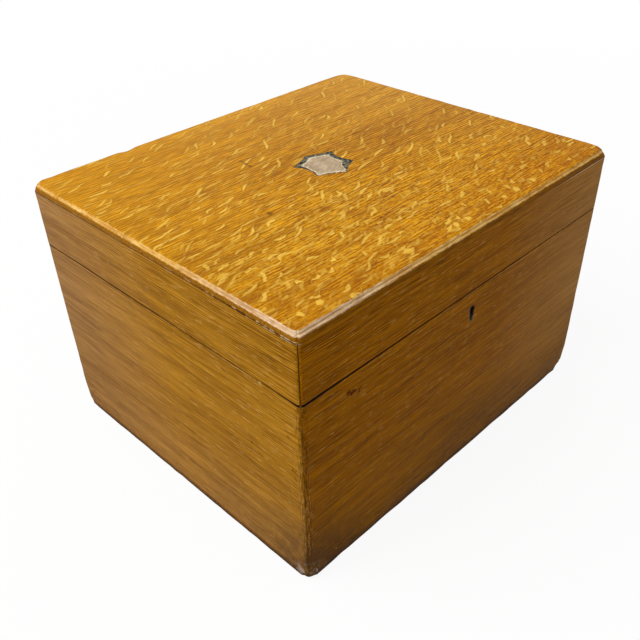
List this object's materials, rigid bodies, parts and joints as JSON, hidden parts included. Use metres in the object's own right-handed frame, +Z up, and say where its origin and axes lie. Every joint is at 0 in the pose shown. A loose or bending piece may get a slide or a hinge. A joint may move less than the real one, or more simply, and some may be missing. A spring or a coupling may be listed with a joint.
{
  "type": "decanter box",
  "caption": "Rectangular oak box with a lid on stopped butt hinges, a link plate lock and a lined, divided interior for square decanters and glasses.",
  "frame": {"origin": "on the floor under the middle of the closed box, hinges left out", "axes": "+X to the right along the front, -Y the side with the keyhole, +Z up"},
  "size_m": [0.33, 0.2817, 0.21],
  "materials": {
    "oak_top": "worn satin polish",
    "oak_ends": "worn satin polish",
    "oak_front": "worn satin polish",
    "oak_inside": "matt",
    "old_brass": "dull, tarnished",
    "tarnished_nickel": "tarnished",
    "dark_steel": "blued",
    "velvet": "short pile"
  },
  "bodies": {
    "box": {"front_board": "oak_front", "back_board": "oak_front", "left_board": "oak_ends", "right_board": "oak_ends", "bottom_board": "oak_front", "keyhole_escutcheon": "old_brass", "lock_plate": "old_brass", "lock_cap": "old_brass", "lock_drill_pin": "dark_steel", "lock_screws": "old_brass", "left_hinge_lower_leaf": "old_brass", "right_hinge_lower_leaf": "old_brass", "left_hinge_pin": "old_brass", "right_hinge_pin": "old_brass", "hinge_box_screws": "old_brass", "base_lining": "velvet", "front_lining": "velvet", "back_lining": "velvet", "left_lining": "velvet", "right_lining": "velvet", "glass_row_divider": "oak_inside", "decanter_row_divider": "oak_inside", "left_cross_divider": "oak_inside", "right_cross_divider": "oak_inside", "left_glass_divider": "oak_inside", "middle_glass_divider": "oak_inside", "right_glass_divider": "oak_inside", "glass_shelves": "oak_inside", "shelf_bearers": "oak_inside"},
    "lid": {"lid_top_board": "oak_top", "lid_front_rail": "oak_front", "lid_back_rail": "oak_front", "lid_left_rail": "oak_ends", "lid_right_rail": "oak_ends", "lid_cartouche": "tarnished_nickel", "lid_pad": "velvet", "link_plate": "old_brass", "link_screws": "old_brass", "left_hinge_upper_leaf": "old_brass", "right_hinge_upper_leaf": "old_brass", "hinge_lid_screws": "old_brass"},
    "lock_bolt": {"lock_bolt": "old_brass", "lock_spring": "dark_steel"}
  },
  "joints": [
    {"name": "lid_hinge", "type": "hinge", "parent": "box", "child": "lid", "pos_m": [0, 0.1397, 0.16], "axis": [-1, 0, 0], "range_deg": [0, 95]},
    {"name": "bolt_slide", "type": "slide", "parent": "box", "child": "lock_bolt", "axis": [1, 0, 0], "range_m": [0, 0.004]}
  ]
}
